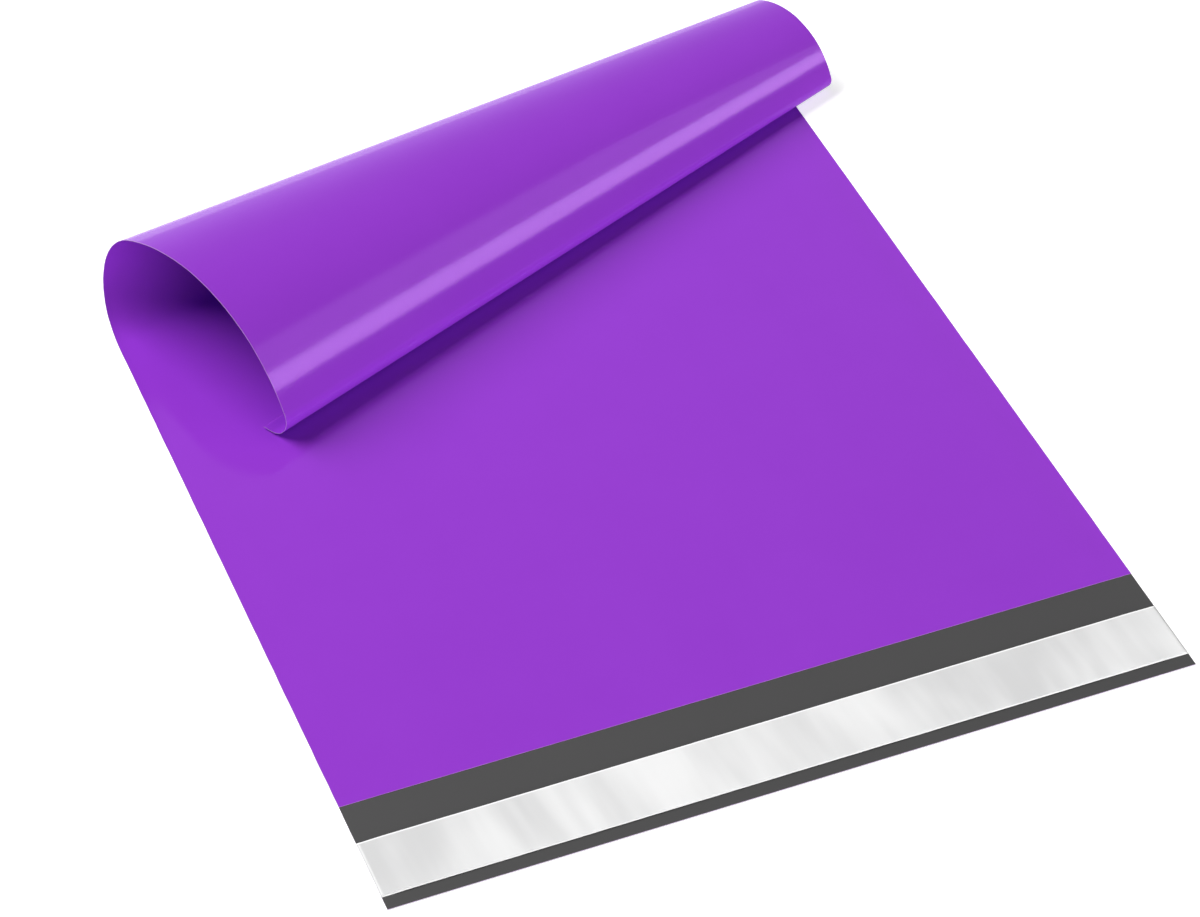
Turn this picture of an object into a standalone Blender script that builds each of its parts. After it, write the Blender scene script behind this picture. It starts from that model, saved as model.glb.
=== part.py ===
# Poly mailer bag, empty, lying on its back ply with the closed end rolled over towards the flap.
# Metres, +Z up. X runs across the bag and Y from the flap towards the closed end.
# The origin is on the underside, on the centre line, below the mouth edge.

import math

import bmesh
import bpy
from mathutils import Matrix, Vector

# The bag laid flat
BAG_WIDTH = 0.250
CLOSED_LENGTH = 0.3640        # mouth edge to bottom fold
FLAP_LENGTH = 0.0405          # back ply past the mouth edge
FILM_THICKNESS = 0.00006      # one ply
AIR_GAP = 0.0002              # between the two plies
SEAM_WIDTH = 0.0015           # plies welded together along each long side
BEAD_WIDTH = 0.0005           # film melted back by the hot knife at the cut
BEAD_HEIGHT = 0.00006         # and how far it stands above the welded plies
PLY_FLARE = 0.008             # from a weld or the bottom fold to the full air gap
FOLD_WIDTH = 0.0008           # plies pressed together along the bottom fold
MOUTH_LIFT = 0.0007           # rise of the front ply in the middle of the mouth
MOUTH_LIFT_REACH = 0.045      # how far into the bag that rise dies out

# The closure on the flap
LINER_WIDTH = 0.0212
LINER_FROM_END = 0.0046       # bare film between the liner and the flap's end
LINER_THICKNESS = 0.00006
ADHESIVE_WIDTH = 0.0160
ADHESIVE_SIDE_MARGIN = 0.004  # bare film between the adhesive's ends and the long sides
ADHESIVE_THICKNESS = 0.00004
LAY_GAP = 0.00002             # between two layers that lie on each other

# The roll, a cone whose straight lines all meet at one point on the floor.
# Its radii are those at the long side that is farther from that point.
POINT_PAST_SIDE = 0.2377      # that point, sideways from the nearer long side
POINT_BEFORE_FOLD = 0.0191    # and how far it lies before the bottom fold's line
REAR_RADIUS = 0.0173
REAR_TURN = 155.2             # degrees
FALL_TURN = 82.0              # degrees, the wide curve down to the nose
NOSE_RADIUS = 0.0063
NOSE_CLEARANCE = 0.00015      # nose above the front ply, at the narrow end
TAIL_LENGTH = 0.0032          # film past the nose's lowest line, at the wide end
CREEP = 0.0059                # the film at the nose, along its line towards the wide end

# Fineness of the mesh
TURN_STEP = 8.0               # degrees of bend between two rows
COLUMNS = 6                   # between the two flares
MOUTH_ROWS = 3
TAIL_ROWS = 2
WELD_DISTANCE = 0.000001

TOTAL_LENGTH = FLAP_LENGTH + CLOSED_LENGTH
POINT_X = BAG_WIDTH + POINT_PAST_SIDE
POINT_Y = TOTAL_LENGTH - POINT_BEFORE_FOLD
BAG_THICKNESS = 2.0 * FILM_THICKNESS + AIR_GAP


class Roll:
    """The cone's bends, each one a turn of its straight line about a fixed axis."""

    def __init__(self):
        nose_turn = 360.0 - REAR_TURN - FALL_TURN
        self.rear = (REAR_RADIUS / POINT_X, math.radians(REAR_TURN))
        self.nose = (NOSE_RADIUS / POINT_X, math.radians(nose_turn))
        self.fall_turn = math.radians(FALL_TURN)
        self.fall_angle = self.find_fall()
        self.arcs = self.bend_arcs(self.fall_angle)
        self.nose_end = sum(arc for arc, turn in self.arcs)
        self.start_angle = self.nose_end + self.tail_angle()
        self.stations = self.walk(self.start_angle)

    def bend_arcs(self, fall_angle):
        # each bend as its share of the cone's angle and how far it turns
        rear_radius, rear_turn = self.rear
        nose_radius, nose_turn = self.nose
        return [
            (rear_radius * rear_turn, rear_turn),
            (fall_angle, self.fall_turn),
            (nose_radius * nose_turn, nose_turn),
        ]

    def tail_angle(self):
        # what the tail takes up, less the angle of the fold's line past the point
        return TAIL_LENGTH / POINT_X - math.atan2(POINT_BEFORE_FOLD, POINT_X)

    def walk(self, start_angle):
        # the straight line, its surface's normal and the bend, where each bend starts
        line = Vector((-math.cos(start_angle), -math.sin(start_angle), 0.0))
        normal = Vector((0.0, 0.0, 1.0))
        angle = 0.0
        stations = []
        for arc, turn in self.arcs:
            curvature = turn / arc
            stations.append((angle, curvature, line, normal))
            line, normal = self.turned(line, normal, curvature, arc)
            angle += arc
        stations.append((angle, 0.0, line, normal))
        return stations

    @staticmethod
    def turned(line, normal, curvature, arc):
        axis = -(normal + curvature * line)
        turn = Matrix.Rotation(arc * axis.length, 3, axis.normalized())
        return turn @ line, turn @ normal

    def find_fall(self):
        # the fall is as long as it takes the nose down to its clearance
        narrow_end = POINT_PAST_SIDE
        wanted = (BAG_THICKNESS + NOSE_CLEARANCE) / narrow_end
        low = 0.0
        high = 0.6
        for step in range(60):
            middle = 0.5 * (low + high)
            self.arcs = self.bend_arcs(middle)
            nose_bottom = self.walk(0.0)[-1][2].z
            if nose_bottom > wanted:
                low = middle
            else:
                high = middle
        return 0.5 * (low + high)

    def at(self, angle):
        station = self.stations[0]
        for candidate in self.stations:
            if angle >= candidate[0]:
                station = candidate
        start, curvature, line, normal = station
        return self.turned(line, normal, curvature, angle - start)

    def place(self, x, y, height):
        """A point of the bag, given as it lies flat, where the roll takes it."""
        across = POINT_X - x
        along = POINT_Y - y
        angle = self.start_angle - math.atan2(along, across)
        if angle <= 0.0:
            spot = Vector((x, y, height))
        else:
            line, normal = self.at(angle)
            point = Vector((POINT_X, POINT_Y, 0.0))
            creep = CREEP * (angle / self.nose_end) ** 2
            spot = point + (math.hypot(across, along) + creep) * line + height * normal
        return spot - Vector((0.5 * BAG_WIDTH, FLAP_LENGTH, 0.0))


def smooth(value):
    value = min(max(value, 0.0), 1.0)
    return value * value * (3.0 - 2.0 * value)


def ply_gap(x, y):
    """Height of the air between the plies at a point of the flat bag."""
    from_weld = min(x, BAG_WIDTH - x) - SEAM_WIDTH
    from_fold = TOTAL_LENGTH - FOLD_WIDTH - y
    open_share = smooth(from_weld / PLY_FLARE) * smooth(from_fold / PLY_FLARE)
    from_mouth = (y - FLAP_LENGTH) / MOUTH_LIFT_REACH
    lift = MOUTH_LIFT * (1.0 - smooth(from_mouth)) * math.sin(math.pi * x / BAG_WIDTH) ** 2
    return open_share * (AIR_GAP + lift)


def top_height(x, y):
    """Height of the bag's upper surface above its underside."""
    bead = BEAD_HEIGHT * max(0.0, 1.0 - min(x, BAG_WIDTH - x) / BEAD_WIDTH)
    return 2.0 * FILM_THICKNESS + bead + ply_gap(x, y)


def column_places():
    weld = [0.0, BEAD_WIDTH, SEAM_WIDTH]
    inner = SEAM_WIDTH + PLY_FLARE
    half_flare = SEAM_WIDTH + 0.5 * PLY_FLARE
    span = BAG_WIDTH - 2.0 * inner
    middle = [inner + span * step / COLUMNS for step in range(COLUMNS + 1)]
    places = weld + [half_flare] + middle + [BAG_WIDTH - half_flare]
    return places + [BAG_WIDTH - place for place in reversed(weld)]


def level_row(distance):
    return lambda x: distance


def between_rows(near, far, share):
    return lambda x: near(x) + share * (far(x) - near(x))


def roll_row(roll, angle):
    """A straight line of the cone, as it lies on the flat bag."""
    slope = math.tan(roll.start_angle - angle)
    return lambda x: POINT_Y - (POINT_X - x) * slope


def pouch_rows(roll):
    """For each row of the pouch, the distance from the flap's end as a function of x."""
    start = roll_row(roll, 0.0)
    rows = [level_row(FLAP_LENGTH + MOUTH_LIFT_REACH * row / MOUTH_ROWS) for row in range(MOUTH_ROWS)]
    settled = level_row(FLAP_LENGTH + MOUTH_LIFT_REACH)
    rows += [settled, between_rows(settled, start, 0.5)]
    angle = 0.0
    for arc, turn in roll.arcs:
        count = math.ceil(math.degrees(turn) / TURN_STEP)
        rows += [roll_row(roll, angle + arc * row / count) for row in range(count)]
        angle += arc
    nose_bottom = roll_row(roll, angle)
    pressed = level_row(TOTAL_LENGTH - FOLD_WIDTH)
    rows += [between_rows(nose_bottom, pressed, row / TAIL_ROWS) for row in range(TAIL_ROWS + 1)]
    return rows


def finish_object(name, mesh_builder, materials):
    bmesh.ops.remove_doubles(mesh_builder, verts=mesh_builder.verts, dist=WELD_DISTANCE)
    mesh = bpy.data.meshes.new(name)
    mesh_builder.to_mesh(mesh)
    mesh_builder.free()
    mesh.validate()
    for material in materials:
        mesh.materials.append(material)
    mesh.shade_smooth()
    mesh.set_sharp_from_angle(angle=math.radians(40.0))
    part = bpy.data.objects.new(name, mesh)
    bpy.context.scene.collection.objects.link(part)
    return part


def plastic(name, colour, roughness):
    material = bpy.data.materials.new(name)
    material.use_nodes = True
    shader = material.node_tree.nodes["Principled BSDF"]
    shader.inputs["Base Color"].default_value = (*colour, 1.0)
    shader.inputs["Roughness"].default_value = roughness
    shader.inputs["Metallic"].default_value = 0.0
    return material


def build_film(roll):
    """The film web: back ply with the flap, front ply, both welds and the bottom fold."""
    builder = bmesh.new()
    columns = column_places()
    last = len(columns) - 1
    weld = columns.index(SEAM_WIDTH)
    flap = [level_row(0.0), level_row(0.5 * FLAP_LENGTH)]
    pouch = pouch_rows(roll)
    fold = [level_row(TOTAL_LENGTH)]

    def layer(rows, height):
        grid = []
        for row in rows:
            places = [(x, row(x)) for x in columns]
            grid.append([builder.verts.new(roll.place(x, y, height(x, y))) for x, y in places])
        return grid

    def face(corners, inside=False):
        corners = [corner for index, corner in enumerate(corners) if corner not in corners[:index]]
        made = builder.faces.new(corners)
        made.material_index = 1 if inside else 0

    def sheet(grid, first, end, inside=False):
        for near, far in zip(grid, grid[1:]):
            for column in range(first, end):
                face([near[column], near[column + 1], far[column + 1], far[column]], inside)

    under = layer(flap + pouch + fold, lambda x, y: 0.0)
    floor = layer(flap + pouch, lambda x, y: FILM_THICKNESS)
    ceiling = layer(pouch, lambda x, y: FILM_THICKNESS + ply_gap(x, y))
    top = layer(pouch + fold, top_height)
    mouth = len(flap)

    sheet(under, 0, last)
    sheet(top, 0, last)
    sheet(floor[:mouth + 1], 0, last, inside=True)
    sheet(floor[mouth:], weld, last - weld, inside=True)
    sheet(ceiling, weld, last - weld, inside=True)

    for column in range(last):
        end = (column, column + 1)
        face([under[0][end[0]], under[0][end[1]], floor[0][end[1]], floor[0][end[0]]])
        face([under[-1][end[0]], under[-1][end[1]], top[-1][end[1]], top[-1][end[0]]])
        lower = ceiling[0] if weld <= column < last - weld else floor[mouth]
        face([lower[end[0]], lower[end[1]], top[0][end[1]], top[0][end[0]]])

    for side in (0, last):
        for row in range(mouth):
            face([under[row][side], under[row + 1][side], floor[row + 1][side], floor[row][side]])
        for row in range(len(top) - 1):
            corners = [under[mouth + row][side], under[mouth + row + 1][side]]
            corners += [top[row + 1][side], top[row][side]]
            if row == 0:
                corners.append(floor[mouth][side])
            face(corners)

    loose = [vert for vert in builder.verts if not vert.link_faces]
    bmesh.ops.delete(builder, geom=loose, context="VERTS")
    bmesh.ops.remove_doubles(builder, verts=builder.verts, dist=WELD_DISTANCE)
    bmesh.ops.recalc_face_normals(builder, faces=builder.faces)
    film_purple = plastic("film_purple", (0.314, 0.053, 0.631), 0.28)
    film_grey = plastic("film_grey", (0.082, 0.078, 0.080), 0.45)
    return finish_object("film_pouch", builder, [film_purple, film_grey])


def build_strip(name, low, high, bottom, thickness, material):
    """A thin strip lying on the flap, between two corners in x and y."""
    builder = bmesh.new()
    size = Vector((high[0] - low[0], high[1] - low[1], thickness))
    centre = Vector((0.5 * (low[0] + high[0]), 0.5 * (low[1] + high[1]), bottom + 0.5 * thickness))
    centre -= Vector((0.5 * BAG_WIDTH, FLAP_LENGTH, 0.0))
    place = Matrix.Translation(centre) @ Matrix.Diagonal((*size, 1.0))
    bmesh.ops.create_cube(builder, size=1.0, matrix=place)
    return finish_object(name, builder, [material])


def build_closure():
    """The adhesive on the flap's inner face and the release liner that covers it."""
    liner_middle = LINER_FROM_END + 0.5 * LINER_WIDTH
    adhesive_bottom = FILM_THICKNESS + LAY_GAP
    build_strip(
        "adhesive_strip",
        (ADHESIVE_SIDE_MARGIN, liner_middle - 0.5 * ADHESIVE_WIDTH),
        (BAG_WIDTH - ADHESIVE_SIDE_MARGIN, liner_middle + 0.5 * ADHESIVE_WIDTH),
        adhesive_bottom,
        ADHESIVE_THICKNESS,
        plastic("adhesive", (0.72, 0.66, 0.50), 0.35),
    )
    build_strip(
        "release_liner",
        (0.0, LINER_FROM_END),
        (BAG_WIDTH, LINER_FROM_END + LINER_WIDTH),
        adhesive_bottom + ADHESIVE_THICKNESS + LAY_GAP,
        LINER_THICKNESS,
        plastic("liner_white", (0.80, 0.80, 0.80), 0.40),
    )


def clear_scene():
    for item in list(bpy.data.objects):
        bpy.data.objects.remove(item, do_unlink=True)


clear_scene()
build_film(Roll())
build_closure()
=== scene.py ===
# Poly mailer bag, lying on its back ply with the closed end rolled over.
# Metres, +Z up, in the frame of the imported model.

import math

import bpy
from mathutils import Matrix, Vector


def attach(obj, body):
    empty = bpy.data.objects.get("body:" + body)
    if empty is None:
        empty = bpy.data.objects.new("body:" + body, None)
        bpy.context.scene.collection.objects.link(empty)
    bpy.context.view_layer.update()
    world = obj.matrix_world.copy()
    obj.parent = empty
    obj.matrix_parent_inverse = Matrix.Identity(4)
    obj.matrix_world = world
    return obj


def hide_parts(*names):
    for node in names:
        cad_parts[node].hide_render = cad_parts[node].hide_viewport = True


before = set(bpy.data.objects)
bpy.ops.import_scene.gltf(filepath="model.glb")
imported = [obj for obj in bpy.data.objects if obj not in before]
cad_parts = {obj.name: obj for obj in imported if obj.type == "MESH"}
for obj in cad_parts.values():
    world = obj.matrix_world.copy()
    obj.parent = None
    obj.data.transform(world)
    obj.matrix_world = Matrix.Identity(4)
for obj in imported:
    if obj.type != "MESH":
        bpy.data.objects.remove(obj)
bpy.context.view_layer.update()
scene = bpy.context.scene
geometryTree = "GeometryNodeTree"
shaderTree = "ShaderNodeTree"

print("frame loaded:", sorted(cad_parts))


# small helpers for building node trees

def addNode(tree, kind, inputs=None, **settings):
    made = tree.nodes.new(kind)
    for name, value in settings.items():
        setattr(made, name, value)
    for key, value in (inputs or {}).items():
        connect(tree, value, made.inputs[key])
    return made


def connect(tree, value, socket):
    if isinstance(value, bpy.types.NodeSocket):
        tree.links.new(value, socket)
    else:
        socket.default_value = value


def calc(tree, operation, *values, clamp=False):
    inputs = dict(enumerate(values))
    return addNode(tree, "ShaderNodeMath", inputs, operation=operation, use_clamp=clamp).outputs[0]


def vectorCalc(tree, operation, first, second=None, scale=None):
    inputs = {0: first}
    if second is not None:
        inputs[1] = second
    if scale is not None:
        inputs["Scale"] = scale
    made = addNode(tree, "ShaderNodeVectorMath", inputs, operation=operation)
    return made.outputs["Value" if operation in ("LENGTH", "DOT_PRODUCT") else "Vector"]


def combine(tree, x=0.0, y=0.0, z=0.0):
    return addNode(tree, "ShaderNodeCombineXYZ", {"X": x, "Y": y, "Z": z}).outputs[0]


def separate(tree, vector):
    return addNode(tree, "ShaderNodeSeparateXYZ", {"Vector": vector}).outputs


def choose(tree, mask, where, elsewhere):
    # the first value where the mask is 1 and the second where it is 0
    return calc(tree, "ADD", calc(tree, "MULTIPLY", mask, where),
                calc(tree, "MULTIPLY", calc(tree, "SUBTRACT", 1.0, mask), elsewhere))


def stretched(tree, x, y, scale, shift=0.0):
    # a place for a noise with its own scale each way, and a shift so that two noises differ
    return combine(tree, calc(tree, "MULTIPLY", x, scale[0]), calc(tree, "MULTIPLY", y, scale[1]), shift)


def ramp(tree, value, fromLow, fromHigh, toLow=0.0, toHigh=1.0, smooth=True):
    kind = "SMOOTHSTEP" if smooth else "LINEAR"
    inputs = {"Value": value, "From Min": fromLow, "From Max": fromHigh, "To Min": toLow, "To Max": toHigh}
    return addNode(tree, "ShaderNodeMapRange", inputs, interpolation_type=kind).outputs["Result"]


def noise(tree, vector, scale=1.0, detail=2.0, roughness=0.5, distortion=0.0):
    inputs = {"Vector": vector, "Scale": scale, "Detail": detail, "Roughness": roughness,
              "Distortion": distortion}
    return addNode(tree, "ShaderNodeTexNoise", inputs, noise_dimensions="3D").outputs[0]


def newTree(name, kind, inputs, outputs):
    # a node group with named sockets, and its two ends
    tree = bpy.data.node_groups.new(name, kind)
    sockets = {"float": "NodeSocketFloat", "int": "NodeSocketInt", "vector": "NodeSocketVector",
               "geometry": "NodeSocketGeometry", "material": "NodeSocketMaterial"}
    for label, sort, value in inputs:
        socket = tree.interface.new_socket(label, in_out="INPUT", socket_type=sockets[sort])
        if value is not None:
            socket.default_value = value
    for label, sort in outputs:
        tree.interface.new_socket(label, in_out="OUTPUT", socket_type=sockets[sort])
    return tree, tree.nodes.new("NodeGroupInput").outputs, tree.nodes.new("NodeGroupOutput").inputs


def useGroup(tree, group, inputs):
    kind = "GeometryNodeGroup" if tree.bl_idname == geometryTree else "ShaderNodeGroup"
    made = tree.nodes.new(kind)
    made.node_tree = group
    for key, value in inputs.items():
        connect(tree, value, made.inputs[key])
    return made.outputs


def growPiece(name, tree, values):
    # run a tree on an empty mesh and keep what it makes as a plain mesh
    holder = bpy.data.objects.new(name + "_holder", bpy.data.meshes.new(name + "_holder"))
    scene.collection.objects.link(holder)
    modifier = holder.modifiers.new("grow", "NODES")
    modifier.node_group = tree
    for item in tree.interface.items_tree:
        if item.item_type == "SOCKET" and item.in_out == "INPUT" and item.name in values:
            modifier[item.identifier] = values[item.name]
    bpy.context.view_layer.update()
    evaluated = holder.evaluated_get(bpy.context.evaluated_depsgraph_get())
    mesh = bpy.data.meshes.new_from_object(evaluated)
    holder.modifiers.clear()
    bpy.data.objects.remove(holder, do_unlink=True)
    mesh.name = name
    piece = bpy.data.objects.new(name, mesh)
    scene.collection.objects.link(piece)
    return piece


# the camera stands at the photograph's viewing angle

cameraView = {
    "place": (-0.33609, -0.71824, 0.82427),
    "azimuth": 22.004,    # degrees, to the right of straight ahead
    "tilt": 42.828,       # degrees down
    "lens": 118.24,
    "sensor": 36.0,
    "clipStart": 0.01,
}


def addCamera(view):
    data = bpy.data.cameras.new("studioCamera")
    data.lens = view["lens"]
    data.sensor_width = view["sensor"]
    data.sensor_fit = "HORIZONTAL"
    data.clip_start = view["clipStart"]
    camera = bpy.data.objects.new("studioCamera", data)
    turned = Matrix.Rotation(math.radians(-view["azimuth"]), 4, "Z")
    tilted = Matrix.Rotation(math.radians(90.0 - view["tilt"]), 4, "X")
    camera.matrix_world = Matrix.Translation(view["place"]) @ turned @ tilted
    scene.collection.objects.link(camera)
    scene.camera = camera


addCamera(cameraView)
print("camera placed")


# the grain and the cut edge that the two faces of the film share; the cut edge gets a lighter colour, partly
# fused film and partly a painted highlight

filmPattern = {
    "bandScale": (22.0, 1.6, 1.0),        # per metre across and along the web
    "mottleScale": 34.0,
    "lineScale": (2600.0, 24.0, 1.0),
    "band": 0.9,
    "mottle": 0.7,
    "dieLines": 0.25,
    "bumpDepth": 0.0004,
    "edgeWidth": 0.00008,
    "edgeRagged": 0.8,
    "edgeScale": 420.0,
    "edgeFade": 1.6,                      # where the edge ends, over where it starts to fade
}


def buildFilmGrain(pattern):
    # blown film: faint bands along the web, soft mottling and fine die lines
    inputs = [("Web Place", "vector", None), ("Band", "float", pattern["band"]),
              ("Mottle", "float", pattern["mottle"]), ("Die Lines", "float", pattern["dieLines"])]
    outputs = [("Shade", "float"), ("Height", "float")]
    tree, given, result = newTree("filmGrain", shaderTree, inputs, outputs)
    bands = noise(tree, vectorCalc(tree, "MULTIPLY", given["Web Place"], pattern["bandScale"]), detail=3.0)
    mottled = noise(tree, given["Web Place"], pattern["mottleScale"], detail=3.0, roughness=0.6)
    lines = noise(tree, vectorCalc(tree, "MULTIPLY", given["Web Place"], pattern["lineScale"]))
    banding = calc(tree, "MULTIPLY", calc(tree, "SUBTRACT", bands, 0.5), given["Band"])
    mottling = calc(tree, "MULTIPLY", calc(tree, "SUBTRACT", mottled, 0.5), given["Mottle"])
    scoring = calc(tree, "MULTIPLY", calc(tree, "SUBTRACT", lines, 0.5), given["Die Lines"])
    shade = calc(tree, "ADD", banding, mottling)
    connect(tree, shade, result["Shade"])
    connect(tree, calc(tree, "ADD", shade, scoring), result["Height"])
    return tree


def buildCutEdge(pattern):
    # 1 at the cut sides and ends of the web, 0 inside, a little ragged: where the lighter edge colour goes,
    # partly fused film and partly a painted highlight
    inputs = [("Web Place", "vector", None), ("Bag Width", "float", 0.25), ("Web Length", "float", 0.75),
              ("Edge Width", "float", pattern["edgeWidth"]), ("Ragged", "float", pattern["edgeRagged"])]
    tree, given, result = newTree("cutEdge", shaderTree, inputs, [("Mask", "float")])
    spot = separate(tree, given["Web Place"])
    fromSide = calc(tree, "MINIMUM", spot["X"], calc(tree, "SUBTRACT", given["Bag Width"], spot["X"]))
    fromEnd = calc(tree, "MINIMUM", spot["Y"], calc(tree, "SUBTRACT", given["Web Length"], spot["Y"]))
    fromCut = calc(tree, "MINIMUM", fromSide, fromEnd)
    ragged = noise(tree, given["Web Place"], pattern["edgeScale"])
    swing = calc(tree, "MULTIPLY", calc(tree, "SUBTRACT", ragged, 0.5), given["Ragged"])
    reach = calc(tree, "MULTIPLY", given["Edge Width"], calc(tree, "ADD", swing, 1.0))
    inner = calc(tree, "MULTIPLY", reach, pattern["edgeFade"])
    connect(tree, ramp(tree, fromCut, reach, inner, 1.0, 0.0), result["Mask"])
    return tree


filmGrain = buildFilmGrain(filmPattern)
cutEdge = buildCutEdge(filmPattern)


def newMaterial(name):
    material = bpy.data.materials.new(name)
    material.use_nodes = True
    tree = material.node_tree
    shader = tree.nodes["Principled BSDF"]
    return material, tree, shader


def mixColours(tree, share, first, second):
    made = addNode(tree, "ShaderNodeMix", data_type="RGBA")
    connect(tree, share, made.inputs["Factor"])
    colourA, colourB = [socket for socket in made.inputs if socket.type == "RGBA"]
    connect(tree, first, colourA)
    connect(tree, second, colourB)
    return next(socket for socket in made.outputs if socket.type == "RGBA")


def addBump(tree, shader, height, strength, depth):
    bump = addNode(tree, "ShaderNodeBump", {"Height": height, "Strength": strength, "Distance": depth})
    connect(tree, bump.outputs[0], shader.inputs["Normal"])


def webPlace(tree):
    # a place on the flat sheet, kept by the piece as its UV map, in metres
    return addNode(tree, "ShaderNodeUVMap", uv_map="WebMap").outputs["UV"]


purpleFinish = {
    "deep": (0.265, 0.034, 0.558, 1.0),
    "light": (0.283, 0.040, 0.588, 1.0),
    # lighter edge colour: partly the whitish fused cut edge, partly a painted highlight on the rim that also
    # hides the shadow under the mouth
    "edge": (0.420, 0.190, 0.560, 1.0),
    "roughness": 0.115,
    "roughnessSpread": 0.010,
    "specular": 0.17,
    "tint": (0.80, 0.44, 1.0, 1.0),
    "bump": 0.06,
}

greyFinish = {
    "deep": (0.036, 0.0355, 0.036, 1.0),
    "light": (0.041, 0.0405, 0.041, 1.0),
    # lighter edge colour: partly the fused cut edge, partly a painted highlight on the rim
    "edge": (0.130, 0.120, 0.130, 1.0),
    "roughness": 0.50,
    "roughnessSpread": 0.05,
    "specular": 0.30,
    "tint": (1.0, 1.0, 1.0, 1.0),
    "bump": 0.08,
}


def filmMaterial(name, finish, bagWidth, webLength):
    material, tree, shader = newMaterial(name)
    place = webPlace(tree)
    grain = useGroup(tree, filmGrain, {"Web Place": place})
    level = calc(tree, "ADD", grain["Shade"], 0.5, clamp=True)
    body = mixColours(tree, level, finish["deep"], finish["light"])
    cut = {"Web Place": place, "Bag Width": bagWidth, "Web Length": webLength}
    # painted highlight: the cut edge is coloured lighter, partly fused film and partly light caught by the
    # rim
    edge = useGroup(tree, cutEdge, cut)["Mask"]
    connect(tree, mixColours(tree, edge, body, finish["edge"]), shader.inputs["Base Color"])
    low = finish["roughness"] - finish["roughnessSpread"]
    high = finish["roughness"] + finish["roughnessSpread"]
    connect(tree, ramp(tree, level, 0.0, 1.0, low, high, smooth=False), shader.inputs["Roughness"])
    shader.inputs["Specular IOR Level"].default_value = finish["specular"]
    shader.inputs["Specular Tint"].default_value = finish["tint"]
    addBump(tree, shader, grain["Height"], finish["bump"], filmPattern["bumpDepth"])
    return material


# the film is one web, folded at the bottom and rolled up on a cone
# metres, save for the turns and arcs, in radians, and the rows and columns

bag = {
    "Bag Width": 0.250,
    "Flap Length": 0.0405,
    "Total Length": 0.4045,
    "Film Thickness": 0.00006,
    "Air Gap": 0.0002,
    "Seam Width": 0.0015,
    "Bead Width": 0.0005,
    "Bead Height": 0.00006,
    "Ply Flare": 0.008,
    "Fold Width": 0.0008,
    "Mouth Gap": 0.00004,
    "Mouth Reach": 0.012,
    "Edge Wander": 0.00022,
    "Point X": 0.4877,
    "Point Y": 0.3854,
    "Start Angle": math.radians(15.27825),
    "Rear Arc": math.radians(5.50535),
    "Rear Turn": math.radians(155.2),
    "Fall Arc": math.radians(10.0534),
    "Fall Turn": math.radians(82.0),
    "Nose Arc": math.radians(1.5863),
    "Nose Turn": math.radians(122.8),
    "Creep": 0.0059,
    "Columns": 64,
    "Flap Rows": 8,
    "Flat Rows": 44,
    "Rear Rows": 46,
    "Fall Rows": 30,
    "Nose Rows": 40,
    "Tail Rows": 6,
}

edgeWaves = {
    "scale": (380.0, 95.0),     # per metre across and along the bag
    "swing": 2.0,
    "reach": 4.0,               # how far in they go, in seam widths
}

layNames = ["Bag Width", "Flap Length", "Total Length", "Film Thickness", "Air Gap", "Seam Width",
            "Bead Width", "Bead Height", "Ply Flare", "Fold Width", "Mouth Gap", "Mouth Reach",
            "Edge Wander"]
rollNames = ["Bag Width", "Flap Length", "Point X", "Point Y", "Start Angle", "Rear Arc", "Rear Turn",
             "Fall Arc", "Fall Turn", "Nose Arc", "Nose Turn", "Creep"]

shellLift = 0.001         # the two faces of a film are this far apart until they are placed
mergeReach = 0.000001
sideCrowding = 0.148      # how much finer the columns are at the sides


def numberInputs(values):
    # rows and columns are whole numbers
    return [(name, "int" if name.endswith("Rows") or name == "Columns" else "float", value)
            for name, value in values.items()]


def keepWebMap(tree, body, place):
    return addNode(tree, "GeometryNodeStoreNamedAttribute",
                   {"Geometry": body, "Name": "WebMap", "Value": place},
                   data_type="FLOAT2", domain="CORNER").outputs[0]


def setPlace(tree, body, place):
    return addNode(tree, "GeometryNodeSetPosition", {"Geometry": body, "Position": place}).outputs[0]


def setFinish(tree, body, material, faces=True):
    return addNode(tree, "GeometryNodeSetMaterial",
                   {"Geometry": body, "Selection": faces, "Material": material}).outputs[0]


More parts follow.
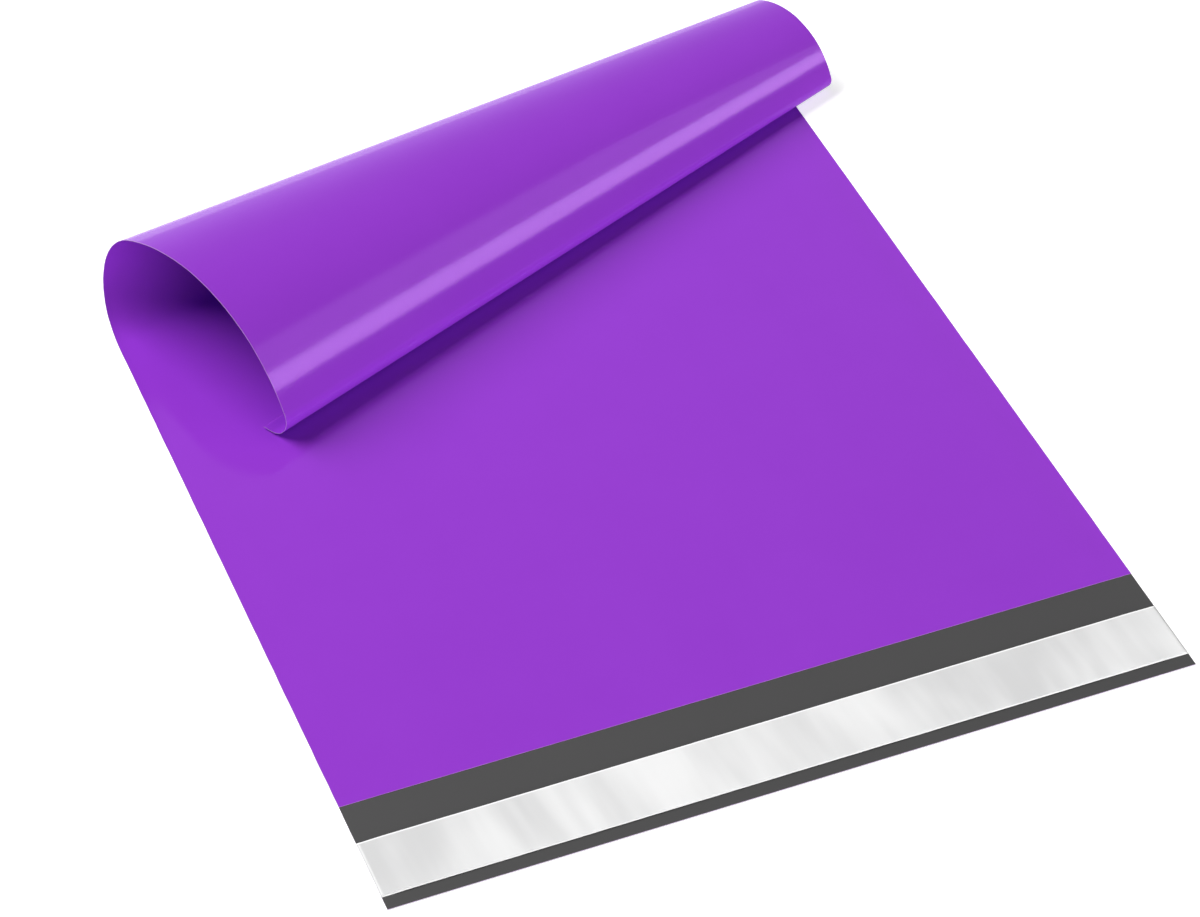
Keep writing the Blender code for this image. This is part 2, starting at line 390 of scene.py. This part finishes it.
def buildPatch():
    # a grid between two lines across the web, each given as y = offset - slope * (Point X - x)
    inputs = [("Rows", "int", 8), ("Columns", "int", 64), ("Bag Width", "float", 0.25),
              ("Point X", "float", 0.5), ("Near Offset", "float", 0.0), ("Near Slope", "float", 0.0),
              ("Far Offset", "float", 0.1), ("Far Slope", "float", 0.0), ("Turnback", "float", 0.0)]
    tree, given, result = newTree("filmPatch", geometryTree, inputs, [("Geometry", "geometry")])
    countX = calc(tree, "ADD", given["Columns"], 1.0)
    countY = calc(tree, "ADD", given["Rows"], 1.0)
    grid = addNode(tree, "GeometryNodeMeshGrid", {"Size X": 1.0, "Size Y": 1.0, "Vertices X": countX,
                                                 "Vertices Y": countY})
    spot = separate(tree, addNode(tree, "GeometryNodeInputPosition").outputs[0])
    u = calc(tree, "ADD", spot["X"], 0.5)
    v = calc(tree, "ADD", spot["Y"], 0.5)
    swing = calc(tree, "SINE", calc(tree, "MULTIPLY", u, 2.0 * math.pi))
    crowded = calc(tree, "SUBTRACT", u, calc(tree, "MULTIPLY", swing, sideCrowding))
    x = calc(tree, "MULTIPLY", crowded, given["Bag Width"])
    toPoint = calc(tree, "SUBTRACT", given["Point X"], x)
    near = calc(tree, "SUBTRACT", given["Near Offset"], calc(tree, "MULTIPLY", given["Near Slope"], toPoint))
    far = calc(tree, "SUBTRACT", given["Far Offset"], calc(tree, "MULTIPLY", given["Far Slope"], toPoint))
    y = calc(tree, "ADD", near, calc(tree, "MULTIPLY", v, calc(tree, "SUBTRACT", far, near)))
    # past the bottom fold the web comes back: its length goes on while y falls
    back = calc(tree, "SUBTRACT", given["Turnback"], y)
    isFront = calc(tree, "GREATER_THAN", given["Turnback"], 0.0)
    along = choose(tree, isFront, back, y)
    connect(tree, setPlace(tree, grid.outputs["Mesh"], combine(tree, x, along)), result["Geometry"])
    return tree


def buildShell():
    # gives a flat sheet a second face and a rim, so that it is one closed body
    tree, given, result = newTree("closedSheet", geometryTree, [("Sheet", "geometry", None)],
                                  [("Geometry", "geometry")])
    flipped = addNode(tree, "GeometryNodeFlipFaces", {"Mesh": given["Sheet"]}).outputs[0]
    raised = addNode(tree, "GeometryNodeExtrudeMesh", {"Mesh": given["Sheet"], "Offset": (0.0, 0.0, 1.0),
                                                      "Offset Scale": shellLift, "Individual": False},
                     mode="FACES")
    both = addNode(tree, "GeometryNodeJoinGeometry")
    tree.links.new(flipped, both.inputs[0])
    tree.links.new(raised.outputs["Mesh"], both.inputs[0])
    merged = addNode(tree, "GeometryNodeMergeByDistance", {"Geometry": both.outputs[0],
                                                          "Distance": mergeReach})
    connect(tree, merged.outputs[0], result["Geometry"])
    return tree


def buildBend():
    # one bend of the cone: turns its straight line and normal about a fixed axis
    inputs = [("Line", "vector", None), ("Normal", "vector", None), ("First Line", "vector", None),
              ("First Normal", "vector", None), ("Arc", "float", 0.1), ("Turn", "float", 1.0),
              ("Past Start", "float", 0.0)]
    outputs = [("Line", "vector"), ("Normal", "vector"), ("Last Line", "vector"),
               ("Last Normal", "vector"), ("Past End", "float")]
    tree, given, result = newTree("coneBend", geometryTree, inputs, outputs)
    curve = calc(tree, "DIVIDE", given["Turn"], given["Arc"])
    leaning = vectorCalc(tree, "SCALE", given["First Line"], scale=curve)
    upright = vectorCalc(tree, "ADD", given["First Normal"], leaning)
    axis = vectorCalc(tree, "SCALE", upright, scale=-1.0)
    speed = vectorCalc(tree, "LENGTH", axis)
    share = calc(tree, "MINIMUM", calc(tree, "MAXIMUM", given["Past Start"], 0.0), given["Arc"])
    partTurn = calc(tree, "MULTIPLY", share, speed)
    fullTurn = calc(tree, "MULTIPLY", given["Arc"], speed)

    def turned(vector, angle):
        return addNode(tree, "ShaderNodeVectorRotate", {"Vector": vector, "Axis": axis, "Angle": angle},
                       rotation_type="AXIS_ANGLE").outputs[0]

    connect(tree, turned(given["Line"], partTurn), result["Line"])
    connect(tree, turned(given["Normal"], partTurn), result["Normal"])
    connect(tree, turned(given["First Line"], fullTurn), result["Last Line"])
    connect(tree, turned(given["First Normal"], fullTurn), result["Last Normal"])
    connect(tree, calc(tree, "SUBTRACT", given["Past Start"], given["Arc"]), result["Past End"])
    return tree


def buildRoll(bend):
    # takes a point of the flat bag, x, y and height, to where the roll holds it
    inputs = [("Flat Place", "vector", None)] + [(name, "float", bag[name]) for name in rollNames]
    tree, given, result = newTree("coneRoll", geometryTree, inputs, [("Position", "vector")])
    spot = separate(tree, given["Flat Place"])
    across = calc(tree, "SUBTRACT", given["Point X"], spot["X"])
    along = calc(tree, "SUBTRACT", given["Point Y"], spot["Y"])
    reach = vectorCalc(tree, "LENGTH", combine(tree, across, along))
    angle = calc(tree, "SUBTRACT", given["Start Angle"], calc(tree, "ARCTAN2", along, across))

    def lineAt(slant):
        x = calc(tree, "MULTIPLY", calc(tree, "COSINE", slant), -1.0)
        y = calc(tree, "MULTIPLY", calc(tree, "SINE", slant), -1.0)
        return combine(tree, x, y)

    up = combine(tree, z=1.0)
    onFloor = calc(tree, "SUBTRACT", given["Start Angle"], calc(tree, "MINIMUM", angle, 0.0))
    line, normal = lineAt(onFloor), up
    firstLine, firstNormal = lineAt(given["Start Angle"]), up
    past = angle
    for part in ("Rear", "Fall", "Nose"):
        step = useGroup(tree, bend, {"Line": line, "Normal": normal, "First Line": firstLine,
                                     "First Normal": firstNormal, "Arc": given[part + " Arc"],
                                     "Turn": given[part + " Turn"], "Past Start": past})
        line, normal = step["Line"], step["Normal"]
        firstLine, firstNormal, past = step["Last Line"], step["Last Normal"], step["Past End"]
    # the tail is straight: it only swings in its own plane
    swing = calc(tree, "MULTIPLY", calc(tree, "MAXIMUM", past, 0.0), -1.0)
    line = addNode(tree, "ShaderNodeVectorRotate", {"Vector": line, "Axis": firstNormal, "Angle": swing},
                   rotation_type="AXIS_ANGLE").outputs[0]
    whole = calc(tree, "SUBTRACT", angle, past)
    wound = calc(tree, "DIVIDE", calc(tree, "MAXIMUM", angle, 0.0), whole)
    creep = calc(tree, "MULTIPLY", calc(tree, "MULTIPLY", wound, wound), given["Creep"])
    outward = vectorCalc(tree, "SCALE", line, scale=calc(tree, "ADD", reach, creep))
    raised = vectorCalc(tree, "SCALE", normal, scale=spot["Z"])
    halfWidth = calc(tree, "MULTIPLY", given["Bag Width"], 0.5)
    point = combine(tree, calc(tree, "SUBTRACT", given["Point X"], halfWidth),
                    calc(tree, "SUBTRACT", given["Point Y"], given["Flap Length"]))
    placed = vectorCalc(tree, "ADD", point, vectorCalc(tree, "ADD", outward, raised))
    connect(tree, placed, result["Position"])
    return tree


def buildLay():
    # from a place on the web, and which face of the film it is on, to the flat bag
    inputs = [("Web Place", "vector", None)] + [(name, "float", bag[name]) for name in layNames]
    tree, given, result = newTree("layPlies", geometryTree, inputs, [("Flat Place", "vector")])
    spot = separate(tree, given["Web Place"])
    x, along = spot["X"], spot["Y"]
    inside = calc(tree, "GREATER_THAN", spot["Z"], 0.5 * shellLift)
    beyond = calc(tree, "SUBTRACT", along, given["Total Length"])
    isFront = calc(tree, "GREATER_THAN", beyond, 0.0)
    y = calc(tree, "SUBTRACT", given["Total Length"], calc(tree, "ABSOLUTE", beyond))
    film = given["Film Thickness"]
    # at the fold itself the outer face stands half way up and the inner one just behind it
    atFold = calc(tree, "LESS_THAN", calc(tree, "ABSOLUTE", beyond), 2.0 * mergeReach)
    y = calc(tree, "SUBTRACT", y, calc(tree, "MULTIPLY", film, calc(tree, "MULTIPLY", atFold, inside)))
    fromSide = calc(tree, "MINIMUM", x, calc(tree, "SUBTRACT", given["Bag Width"], x))
    fromWeld = calc(tree, "SUBTRACT", fromSide, given["Seam Width"])
    fromFold = calc(tree, "SUBTRACT", calc(tree, "SUBTRACT", given["Total Length"], given["Fold Width"]), y)
    fromMouth = calc(tree, "SUBTRACT", y, given["Flap Length"])
    openAtWeld = ramp(tree, fromWeld, 0.0, given["Ply Flare"])
    openAtFold = ramp(tree, fromFold, 0.0, given["Ply Flare"])
    # the front ply comes down on the back one at the mouth
    fullGap = ramp(tree, fromMouth, 0.0, given["Mouth Reach"], given["Mouth Gap"], given["Air Gap"])
    gap = calc(tree, "MULTIPLY", calc(tree, "MULTIPLY", openAtWeld, openAtFold), fullGap)
    bead = calc(tree, "MULTIPLY", given["Bead Height"],
                ramp(tree, fromSide, 0.0, given["Bead Width"], 1.0, 0.0))
    # heights: back ply from 0 to one film, front ply from one film and the gap upwards
    backTop = calc(tree, "MULTIPLY", inside, film)
    frontLow = calc(tree, "ADD", film, gap)
    outerShare = calc(tree, "SUBTRACT", 1.0, inside)
    frontTop = calc(tree, "ADD", frontLow, calc(tree, "MULTIPLY", outerShare, calc(tree, "ADD", film, bead)))
    height = choose(tree, atFold, film, choose(tree, isFront, frontTop, backTop))
    # the hot knife leaves the sides a little wavy
    waves = noise(tree, stretched(tree, x, y, edgeWaves["scale"]), detail=3.0, roughness=0.65)
    swing = calc(tree, "MULTIPLY", given["Edge Wander"], edgeWaves["swing"])
    reach = calc(tree, "MULTIPLY", given["Seam Width"], edgeWaves["reach"])
    sway = calc(tree, "MULTIPLY", calc(tree, "SUBTRACT", waves, 0.5), swing)
    sway = calc(tree, "MULTIPLY", sway, ramp(tree, fromSide, 0.0, reach, 1.0, 0.0))
    connect(tree, combine(tree, calc(tree, "ADD", x, sway), y, height), result["Flat Place"])
    return tree


def buildFilmTree(patch, shell, lay, roll):
    tree, given, result = newTree("filmWeb", geometryTree,
                                  numberInputs(bag) + [("Outside", "material", None),
                                                       ("Inside", "material", None)],
                                  [("Geometry", "geometry")])
    half = given["Total Length"]
    turnback = calc(tree, "MULTIPLY", half, 2.0)

    def tangent(*arcs):
        angle = given["Start Angle"]
        for arc in arcs:
            angle = calc(tree, "SUBTRACT", angle, given[arc])
        return calc(tree, "TANGENT", angle)

    flapEnd, mouth, bottom = (0.0, 0.0), (given["Flap Length"], 0.0), (half, 0.0)
    start = (given["Point Y"], tangent())
    rearEnd = (given["Point Y"], tangent("Rear Arc"))
    fallEnd = (given["Point Y"], tangent("Rear Arc", "Fall Arc"))
    noseEnd = (given["Point Y"], tangent("Rear Arc", "Fall Arc", "Nose Arc"))
    stretches = [("Flap Rows", flapEnd, mouth), ("Flat Rows", mouth, start), ("Rear Rows", start, rearEnd),
                 ("Fall Rows", rearEnd, fallEnd), ("Nose Rows", fallEnd, noseEnd),
                 ("Tail Rows", noseEnd, bottom)]
    plies = [(rows, near, far, 0.0) for rows, near, far in stretches]
    plies += [(rows, far, near, turnback) for rows, near, far in stretches[1:]]
    joined = addNode(tree, "GeometryNodeJoinGeometry")
    for rows, near, far, back in plies:
        made = useGroup(tree, patch, {"Rows": given[rows], "Columns": given["Columns"],
                                      "Bag Width": given["Bag Width"], "Point X": given["Point X"],
                                      "Near Offset": near[0], "Near Slope": near[1],
                                      "Far Offset": far[0], "Far Slope": far[1], "Turnback": back})
        tree.links.new(made["Geometry"], joined.inputs[0])
    web = addNode(tree, "GeometryNodeMergeByDistance", {"Geometry": joined.outputs[0],
                                                       "Distance": mergeReach}).outputs[0]
    body = useGroup(tree, shell, {"Sheet": web})["Geometry"]
    place = addNode(tree, "GeometryNodeInputPosition").outputs[0]
    level = separate(tree, place)["Z"]
    # a face's level is the middle of it: 0 outside, the lift inside, and between them on the rim
    nearLow, nearHigh = 0.1 * shellLift, 0.9 * shellLift
    isInside = calc(tree, "GREATER_THAN", level, nearHigh)
    isRim = calc(tree, "MULTIPLY", calc(tree, "LESS_THAN", level, nearHigh),
                 calc(tree, "GREATER_THAN", level, nearLow))
    body = keepWebMap(tree, body, place)
    for name, mask in (("isInside", isInside), ("isRim", isRim)):
        body = addNode(tree, "GeometryNodeStoreNamedAttribute",
                       {"Geometry": body, "Name": name, "Value": mask},
                       data_type="FLOAT", domain="FACE").outputs[0]
    flat = useGroup(tree, lay, {name: given[name] for name in layNames} | {"Web Place": place})
    rolled = useGroup(tree, roll, {name: given[name] for name in rollNames} |
                      {"Flat Place": flat["Flat Place"]})
    body = setPlace(tree, body, rolled["Position"])

    def maskAbove(name, least):
        made = addNode(tree, "GeometryNodeInputNamedAttribute", {"Name": name}, data_type="FLOAT")
        return calc(tree, "GREATER_THAN", made.outputs[0], least)

    # the faces are smooth and the cut rim is crisp: an edge between the two reads one half here
    body = addNode(tree, "GeometryNodeSetShadeSmooth", {"Geometry": body, "Shade Smooth": True}).outputs[0]
    body = addNode(tree, "GeometryNodeSetShadeSmooth",
                   {"Geometry": body, "Selection": maskAbove("isRim", 0.25), "Shade Smooth": False},
                   domain="EDGE").outputs[0]
    body = addNode(tree, "GeometryNodeRealizeInstances", {"Geometry": body}).outputs[0]
    body = setFinish(tree, body, given["Outside"])
    body = setFinish(tree, body, given["Inside"], maskAbove("isInside", 0.5))
    connect(tree, body, result["Geometry"])
    return tree


webLength = 2.0 * bag["Total Length"] - bag["Flap Length"]
filmPurple = filmMaterial("filmPurple", purpleFinish, bag["Bag Width"], webLength)
filmGrey = filmMaterial("filmGrey", greyFinish, bag["Bag Width"], webLength)
patchGroup = buildPatch()
shellGroup = buildShell()
filmTree = buildFilmTree(patchGroup, shellGroup, buildLay(), buildRoll(buildBend()))
film = growPiece("mailer_film", filmTree, bag | {"Outside": filmPurple, "Inside": filmGrey})
print("film made:", len(film.data.polygons), "faces")


# the release liner lies over the adhesive

liner = {
    "Length": 0.250,
    "Width": 0.0212,
    "From End": 0.0046,
    "Rest Height": 0.00014,
    "Thickness": 0.00006,
    "Ripple": 0.00022,
    "Fine Ripple": 0.00005,
    "Slant": 0.08,
    "Columns": 240,
    "Rows": 20,
}

linerWaves = {
    "broad": (62.0, 9.0),       # per metre along and across the strip
    "fine": (210.0, 40.0),
    "fineShift": 5.0,
    "settle": 0.01,             # the ends of the strip lie flat over this length
}


def buildLinerTree(shell):
    tree, given, result = newTree("linerStrip", geometryTree,
                                  numberInputs(liner) + [("Flap Length", "float", 0.04),
                                                         ("Finish", "material", None)],
                                  [("Geometry", "geometry")])
    grid = addNode(tree, "GeometryNodeMeshGrid",
                   {"Size X": given["Length"], "Size Y": given["Width"],
                    "Vertices X": calc(tree, "ADD", given["Columns"], 1.0),
                    "Vertices Y": calc(tree, "ADD", given["Rows"], 1.0)})
    body = useGroup(tree, shell, {"Sheet": grid.outputs["Mesh"]})["Geometry"]
    place = addNode(tree, "GeometryNodeInputPosition").outputs[0]
    spot = separate(tree, place)
    body = keepWebMap(tree, body, place)
    # soft ripples run across the strip, a little aslant, and die out at its ends
    slanted = calc(tree, "ADD", spot["X"], calc(tree, "MULTIPLY", spot["Y"], given["Slant"]))
    broad = noise(tree, stretched(tree, slanted, spot["Y"], linerWaves["broad"]), roughness=0.4)
    fine = noise(tree, stretched(tree, slanted, spot["Y"], linerWaves["fine"], linerWaves["fineShift"]))
    fromEnd = calc(tree, "SUBTRACT", calc(tree, "MULTIPLY", given["Length"], 0.5),
                   calc(tree, "ABSOLUTE", spot["X"]))
    settled = ramp(tree, fromEnd, 0.0, linerWaves["settle"])
    rise = calc(tree, "ADD", calc(tree, "MULTIPLY", broad, given["Ripple"]),
                calc(tree, "MULTIPLY", fine, given["Fine Ripple"]))
    inside = calc(tree, "GREATER_THAN", spot["Z"], 0.5 * shellLift)
    height = calc(tree, "ADD", given["Rest Height"], calc(tree, "MULTIPLY", rise, settled))
    height = calc(tree, "ADD", height, calc(tree, "MULTIPLY", inside, given["Thickness"]))
    middle = calc(tree, "SUBTRACT", calc(tree, "ADD", given["From End"],
                                         calc(tree, "MULTIPLY", given["Width"], 0.5)), given["Flap Length"])
    body = setPlace(tree, body, combine(tree, spot["X"], calc(tree, "ADD", spot["Y"], middle), height))
    body = addNode(tree, "GeometryNodeSetShadeSmooth", {"Geometry": body, "Shade Smooth": True}).outputs[0]
    body = addNode(tree, "GeometryNodeRealizeInstances", {"Geometry": body}).outputs[0]
    connect(tree, setFinish(tree, body, given["Finish"]), result["Geometry"])
    return tree


linerFinish = {
    "dark": (0.640, 0.640, 0.643, 1.0),
    "light": (0.860, 0.860, 0.860, 1.0),
    "rim": (0.930, 0.930, 0.930, 1.0),
    "rimWidth": 0.0007,
    "rimFull": 0.3,             # the share of the rim that is fully bright
    "roughness": 0.34,
    "smoother": 0.04,
    "rougher": 0.05,
    "specular": 0.35,
    "streaks": (22.0, 8.0),     # per metre along and across the strip
    "streakShift": 2.0,
    "silk": (176.0, 20.0),
    "silkShift": 7.0,
    "silkShare": 0.1,
    "silkLevels": (0.2, 0.8),   # of the noise, for the smoothest and the roughest
    "levels": (0.39, 0.63),     # of the noise, for the dark and the light colour
    "bump": 0.16,
    "bumpDepth": 0.0003,
}


def linerMaterial(finish, width, slant):
    material, tree, shader = newMaterial("linerWhite")
    spot = separate(tree, webPlace(tree))
    slanted = calc(tree, "ADD", spot["X"], calc(tree, "MULTIPLY", spot["Y"], slant))
    broad = noise(tree, stretched(tree, slanted, spot["Y"], finish["streaks"], finish["streakShift"]),
                  detail=3.0, roughness=0.55, distortion=0.4)
    silky = noise(tree, stretched(tree, slanted, spot["Y"], finish["silk"], finish["silkShift"]))
    blend = calc(tree, "ADD", calc(tree, "MULTIPLY", broad, 1.0 - finish["silkShare"]),
                 calc(tree, "MULTIPLY", silky, finish["silkShare"]))
    level = ramp(tree, blend, *finish["levels"])
    body = mixColours(tree, level, finish["dark"], finish["light"])
    # the slit edges of the strip catch the light
    toEdge = calc(tree, "SUBTRACT", 0.5 * width, calc(tree, "ABSOLUTE", spot["Y"]))
    rim = ramp(tree, toEdge, finish["rimFull"] * finish["rimWidth"], finish["rimWidth"], 1.0, 0.0)
    connect(tree, mixColours(tree, rim, body, finish["rim"]), shader.inputs["Base Color"])
    low, high = finish["roughness"] - finish["smoother"], finish["roughness"] + finish["rougher"]
    rough = ramp(tree, silky, *finish["silkLevels"], low, high, smooth=False)
    connect(tree, rough, shader.inputs["Roughness"])
    shader.inputs["Specular IOR Level"].default_value = finish["specular"]
    addBump(tree, shader, silky, finish["bump"], finish["bumpDepth"])
    return material


adhesiveFinish = {
    "thin": (0.62, 0.55, 0.38, 1.0),
    "thick": (0.74, 0.68, 0.52, 1.0),
    "roughness": 0.32,
    "coatScale": (30.0, 900.0, 1.0),     # per metre along and across the strip
    "bump": 0.3,
    "bumpDepth": 0.0001,
}


def adhesiveMaterial(finish):
    material, tree, shader = newMaterial("adhesiveAmber")
    place = addNode(tree, "ShaderNodeTexCoord").outputs["Object"]
    coat = noise(tree, vectorCalc(tree, "MULTIPLY", place, finish["coatScale"]), detail=3.0)
    connect(tree, mixColours(tree, coat, finish["thin"], finish["thick"]), shader.inputs["Base Color"])
    shader.inputs["Roughness"].default_value = finish["roughness"]
    addBump(tree, shader, coat, finish["bump"], finish["bumpDepth"])
    return material


linerTree = buildLinerTree(shellGroup)
linerWhite = linerMaterial(linerFinish, liner["Width"], liner["Slant"])
linerStrip = growPiece("release_liner_strip", linerTree,
                       liner | {"Flap Length": bag["Flap Length"], "Finish": linerWhite})
print("liner made:", len(linerStrip.data.polygons), "faces")

adhesiveAmber = adhesiveMaterial(adhesiveFinish)
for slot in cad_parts["adhesive_strip"].material_slots:
    slot.material = adhesiveAmber
print("adhesive finished")


studio = {
    "floorSize": 6.0,
    "floorDrop": 0.0002,
    "floorColour": (0.80, 0.80, 0.80, 1.0),
    "floorRoughness": 0.9,
    "nearGlow": 0.60,     # what the camera sees on top of the lamps' light, by the bag
    "farGlow": 1.0,       # and far away, where the lamps no longer reach
    "nearReach": 0.35,
    "farReach": 1.40,
    "skyLight": 0.05,
}

# a fill casts light and isn't seen in the gloss, and a gloss lamp is seen there and casts none
lamps = {
    "backSoftbox": {"place": (-1.52, 1.77, 2.08), "target": (0.0, 0.12, 0.0), "width": 2.6,
                    "depth": 1.8, "watts": 138.0, "use": "both"},
    "sideSoftbox": {"place": (1.07, -0.28, 1.13), "target": (0.03, 0.20, 0.02), "width": 1.0,
                    "depth": 0.35, "watts": 3.5, "use": "both"},
    "lowFill": {"place": (0.35, -1.45, 0.18), "target": (0.0, 0.15, 0.0), "width": 1.2,
                "depth": 0.3, "watts": 23.0, "use": "fill"},
    "stripLight": {"place": (1.25, -0.38, 0.86), "target": (0.03, 0.20, 0.02), "width": 1.0,
                   "depth": 0.28, "watts": 14.5, "use": "gloss"},
}


def seenRays(tree):
    # 1 for the rays that show the background: seen straight, in a gloss or through a clear body
    path = addNode(tree, "ShaderNodeLightPath").outputs
    clear = calc(tree, "MAXIMUM", path["Is Glossy Ray"], path["Is Transmission Ray"])
    return calc(tree, "MAXIMUM", path["Is Camera Ray"], clear)


def addFloor(values):
    mesh = bpy.data.meshes.new("studioFloor")
    half = 0.5 * values["floorSize"]
    corners = [(-half, -half, 0.0), (half, -half, 0.0), (half, half, 0.0), (-half, half, 0.0)]
    mesh.from_pydata(corners, [], [(0, 1, 2, 3)])
    floor = bpy.data.objects.new("studioFloor", mesh)
    scene.collection.objects.link(floor)
    floor.location.z = -values["floorDrop"]
    material, tree, shader = newMaterial("floorPaper")
    shader.inputs["Base Color"].default_value = values["floorColour"]
    shader.inputs["Roughness"].default_value = values["floorRoughness"]
    shader.inputs["Specular IOR Level"].default_value = 0.0
    away = vectorCalc(tree, "LENGTH", addNode(tree, "ShaderNodeTexCoord").outputs["Object"])
    glow = ramp(tree, away, values["nearReach"], values["farReach"], values["nearGlow"], values["farGlow"])
    glowShader = addNode(tree, "ShaderNodeEmission", {"Color": (1.0, 1.0, 1.0, 1.0)})
    connect(tree, calc(tree, "MULTIPLY", seenRays(tree), glow), glowShader.inputs["Strength"])
    both = addNode(tree, "ShaderNodeAddShader", {0: shader.outputs[0], 1: glowShader.outputs[0]})
    output = next(node for node in tree.nodes if node.type == "OUTPUT_MATERIAL")
    tree.links.new(both.outputs[0], output.inputs["Surface"])
    mesh.materials.append(material)


def setWorld(strength):
    world = bpy.data.worlds.new("studioWorld")
    scene.world = world
    world.use_nodes = True
    tree = world.node_tree
    background = tree.nodes["Background"]
    background.inputs["Color"].default_value = (1.0, 1.0, 1.0, 1.0)
    seen = seenRays(tree)
    lit = calc(tree, "MULTIPLY", calc(tree, "SUBTRACT", 1.0, seen), strength)
    connect(tree, calc(tree, "ADD", lit, seen), background.inputs["Strength"])


def addLamp(name, values):
    data = bpy.data.lights.new(name, "AREA")
    data.shape = "RECTANGLE"
    data.size = values["width"]
    data.size_y = values["depth"]
    data.energy = values["watts"]
    lamp = bpy.data.objects.new(name, data)
    lamp.visible_diffuse = values["use"] != "gloss"
    lamp.visible_glossy = values["use"] != "fill"
    aim = Vector(values["target"]) - Vector(values["place"])
    turned = aim.to_track_quat("-Z", "Y").to_matrix().to_4x4()
    lamp.matrix_world = Matrix.Translation(values["place"]) @ turned
    scene.collection.objects.link(lamp)


addFloor(studio)
setWorld(studio["skyLight"])
for name, values in lamps.items():
    addLamp(name, values)
scene.view_settings.view_transform = "Standard"
print("studio set")


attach(film, "root")
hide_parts("film_pouch")
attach(linerStrip, "root")
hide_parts("release_liner")
